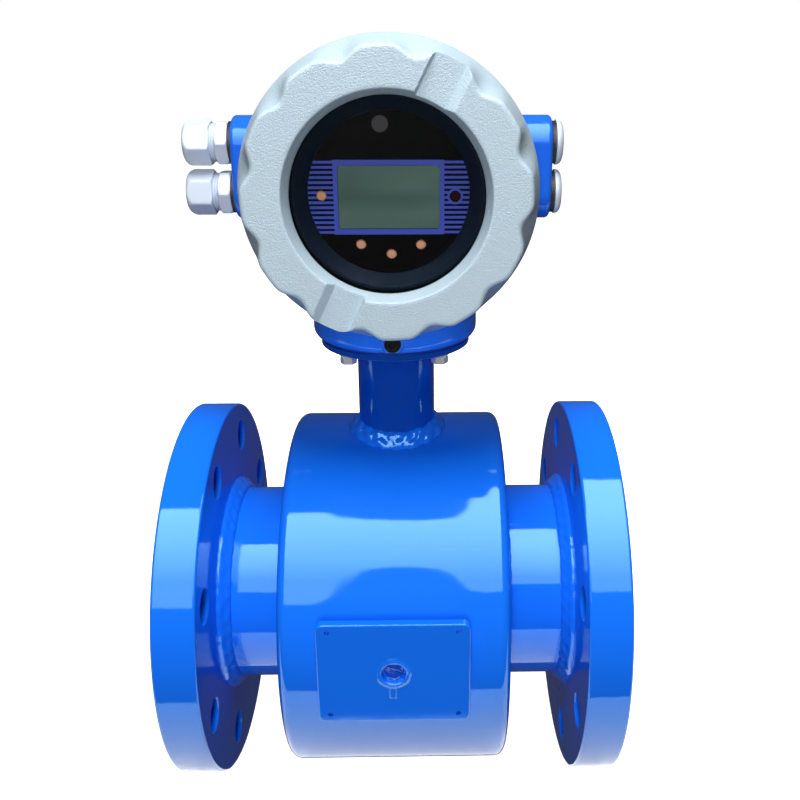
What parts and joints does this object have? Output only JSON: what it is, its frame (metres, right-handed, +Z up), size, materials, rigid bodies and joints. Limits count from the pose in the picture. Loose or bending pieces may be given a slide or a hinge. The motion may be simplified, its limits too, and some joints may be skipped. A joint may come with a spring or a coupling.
{
  "type": "electromagnetic flow meter",
  "caption": "Flanged electromagnetic flow meter: lined measuring tube in a drum housing, neck, and a round converter head with screwed covers, display, cable glands and plugs.",
  "frame": {"origin": "centre of the measuring tube, midway between the two lined flange faces", "axes": "+X along the flow from inlet to outlet, -Y towards the display side, +Z up the neck to the converter head"},
  "size_m": [0.25, 0.22, 0.43],
  "materials": {
    "blue_enamel": "gloss paint over steel",
    "head_blue": "powder coat over cast aluminium",
    "cover_grey": "fine texture powder coat over cast aluminium",
    "lining_rubber": "moulded",
    "seal_rubber": "moulded",
    "toughened_glass": "clear",
    "retainer_aluminium": "black anodised",
    "cup_plastic": "moulded black",
    "faceplate_plastic": "black sheet",
    "blue_print": "screen printed",
    "lcd_glass": "liquid crystal cell",
    "board_green": "solder mask",
    "switch_black": "moulded",
    "key_salmon": "moulded",
    "receiver_red": "dark red resin",
    "lamp_grey": "smoked",
    "zinc_steel": "bright zinc plate",
    "stainless_steel": "turned",
    "copper_wire": "enamelled winding",
    "soft_iron": "sheet",
    "insulator_white": "turned PTFE",
    "gland_white": "moulded polyamide",
    "terminal_green": "moulded",
    "cable_grey": "jacket"
  },
  "bodies": {
    "root": {"measuring_tube": "blue_enamel", "inlet_flange": "blue_enamel", "outlet_flange": "blue_enamel", "flange_welds": "blue_enamel", "rubber_liner": "lining_rubber", "liner_flares": "lining_rubber", "housing_shell": "blue_enamel", "housing_end_inlet": "blue_enamel", "housing_end_outlet": "blue_enamel", "housing_welds": "blue_enamel", "nameplate_carrier": "blue_enamel", "nameplate_plug_weld": "blue_enamel", "pole_pieces": "soft_iron", "coils": "copper_wire", "return_yoke": "soft_iron", "electrodes": "stainless_steel", "electrode_bushes": "insulator_white", "electrode_sleeves": "stainless_steel", "neck_tube": "blue_enamel", "neck_welds": "blue_enamel", "neck_flange": "blue_enamel", "neck_gasket": "seal_rubber", "neck_bolts": "zinc_steel", "sensor_cables": "cable_grey", "head_housing": "head_blue", "head_bosses": "head_blue", "head_foot": "head_blue", "ground_screw": "zinc_steel", "display_carrier": "cup_plastic", "display_faceplate": "faceplate_plastic", "faceplate_print": "blue_print", "lcd_module": "lcd_glass", "display_board": "board_green", "key_switches": "switch_black", "infrared_receiver": "receiver_red", "lamp_window": "lamp_grey", "circuit_boards": "board_green", "terminal_blocks": "terminal_green", "gland_washers": "seal_rubber", "upper_gland_body": "gland_white", "lower_gland_body": "gland_white"},
    "front_cover": {"front_cover": "cover_grey", "window_gasket": "seal_rubber", "window_glass": "toughened_glass", "window_retainer": "retainer_aluminium"},
    "front_seal": {"front_seal": "seal_rubber"},
    "rear_cover": {"rear_cover": "cover_grey"},
    "rear_seal": {"rear_seal": "seal_rubber"},
    "upper_gland_nut": {"upper_gland_nut": "gland_white"},
    "upper_gland_seal": {"upper_gland_seal": "seal_rubber"},
    "upper_plug": {"upper_plug": "gland_white"},
    "upper_plug_gasket": {"upper_plug_gasket": "seal_rubber"},
    "lower_gland_nut": {"lower_gland_nut": "gland_white"},
    "lower_gland_seal": {"lower_gland_seal": "seal_rubber"},
    "lower_plug": {"lower_plug": "gland_white"},
    "lower_plug_gasket": {"lower_plug_gasket": "seal_rubber"},
    "key_left": {"key_left": "key_salmon"},
    "key_lower_left": {"key_lower_left": "key_salmon"},
    "key_lower_middle": {"key_lower_middle": "key_salmon"},
    "key_lower_right": {"key_lower_right": "key_salmon"}
  },
  "joints": [
    {"name": "front_seal_slide", "type": "slide", "parent": "root", "child": "front_seal", "axis": [0, -1, 0], "range_m": [0, 0.01205]},
    {"name": "front_cover_turn", "type": "hinge", "parent": "front_seal", "child": "front_cover", "pos_m": [0, -0.05, 0.246], "axis": [0, -1, 0], "range_deg": [0, 2160]},
    {"name": "rear_seal_slide", "type": "slide", "parent": "root", "child": "rear_seal", "axis": [0, 1, 0], "range_m": [0, 0.01205]},
    {"name": "rear_cover_turn", "type": "hinge", "parent": "rear_seal", "child": "rear_cover", "pos_m": [0, 0.05, 0.246], "axis": [0, 1, 0], "range_deg": [0, 2160]},
    {"name": "upper_gland_seal_slide", "type": "slide", "parent": "root", "child": "upper_gland_seal", "axis": [-1, 0, 0], "range_m": [0, 0.00455]},
    {"name": "upper_gland_nut_turn", "type": "hinge", "parent": "upper_gland_seal", "child": "upper_gland_nut", "pos_m": [-0.105, 0.009, 0.26525], "axis": [-1, 0, 0], "range_deg": [0, 1080]},
    {"name": "upper_plug_gasket_slide", "type": "slide", "parent": "root", "child": "upper_plug_gasket", "axis": [1, 0, 0], "range_m": [0, 0.00755]},
    {"name": "upper_plug_turn", "type": "hinge", "parent": "upper_plug_gasket", "child": "upper_plug", "pos_m": [0.09, 0.009, 0.26525], "axis": [1, 0, 0], "range_deg": [0, 1800]},
    {"name": "lower_gland_seal_slide", "type": "slide", "parent": "root", "child": "lower_gland_seal", "axis": [-1, 0, 0], "range_m": [0, 0.00455]},
    {"name": "lower_gland_nut_turn", "type": "hinge", "parent": "lower_gland_seal", "child": "lower_gland_nut", "pos_m": [-0.105, 0.009, 0.23875], "axis": [-1, 0, 0], "range_deg": [0, 1080]},
    {"name": "lower_plug_gasket_slide", "type": "slide", "parent": "root", "child": "lower_plug_gasket", "axis": [1, 0, 0], "range_m": [0, 0.00755]},
    {"name": "lower_plug_turn", "type": "hinge", "parent": "lower_plug_gasket", "child": "lower_plug", "pos_m": [0.09, 0.009, 0.23875], "axis": [1, 0, 0], "range_deg": [0, 1800]},
    {"name": "key_left_press", "type": "slide", "parent": "root", "child": "key_left", "axis": [0, 1, 0], "range_m": [0, 0.00025], "stiffness_N_per_m": 2000},
    {"name": "key_lower_left_press", "type": "slide", "parent": "root", "child": "key_lower_left", "axis": [0, 1, 0], "range_m": [0, 0.00025], "stiffness_N_per_m": 2000},
    {"name": "key_lower_middle_press", "type": "slide", "parent": "root", "child": "key_lower_middle", "axis": [0, 1, 0], "range_m": [0, 0.00025], "stiffness_N_per_m": 2000},
    {"name": "key_lower_right_press", "type": "slide", "parent": "root", "child": "key_lower_right", "axis": [0, 1, 0], "range_m": [0, 0.00025], "stiffness_N_per_m": 2000}
  ],
  "couplings": [
    {"joint": "front_seal_slide", "follows": "front_cover_turn", "m_per_rad": 0.00031831},
    {"joint": "rear_seal_slide", "follows": "rear_cover_turn", "m_per_rad": 0.00031831},
    {"joint": "upper_gland_seal_slide", "follows": "upper_gland_nut_turn", "m_per_rad": 0.00023873},
    {"joint": "upper_plug_gasket_slide", "follows": "upper_plug_turn", "m_per_rad": 0.00023873},
    {"joint": "lower_gland_seal_slide", "follows": "lower_gland_nut_turn", "m_per_rad": 0.00023873},
    {"joint": "lower_plug_gasket_slide", "follows": "lower_plug_turn", "m_per_rad": 0.00023873}
  ]
}
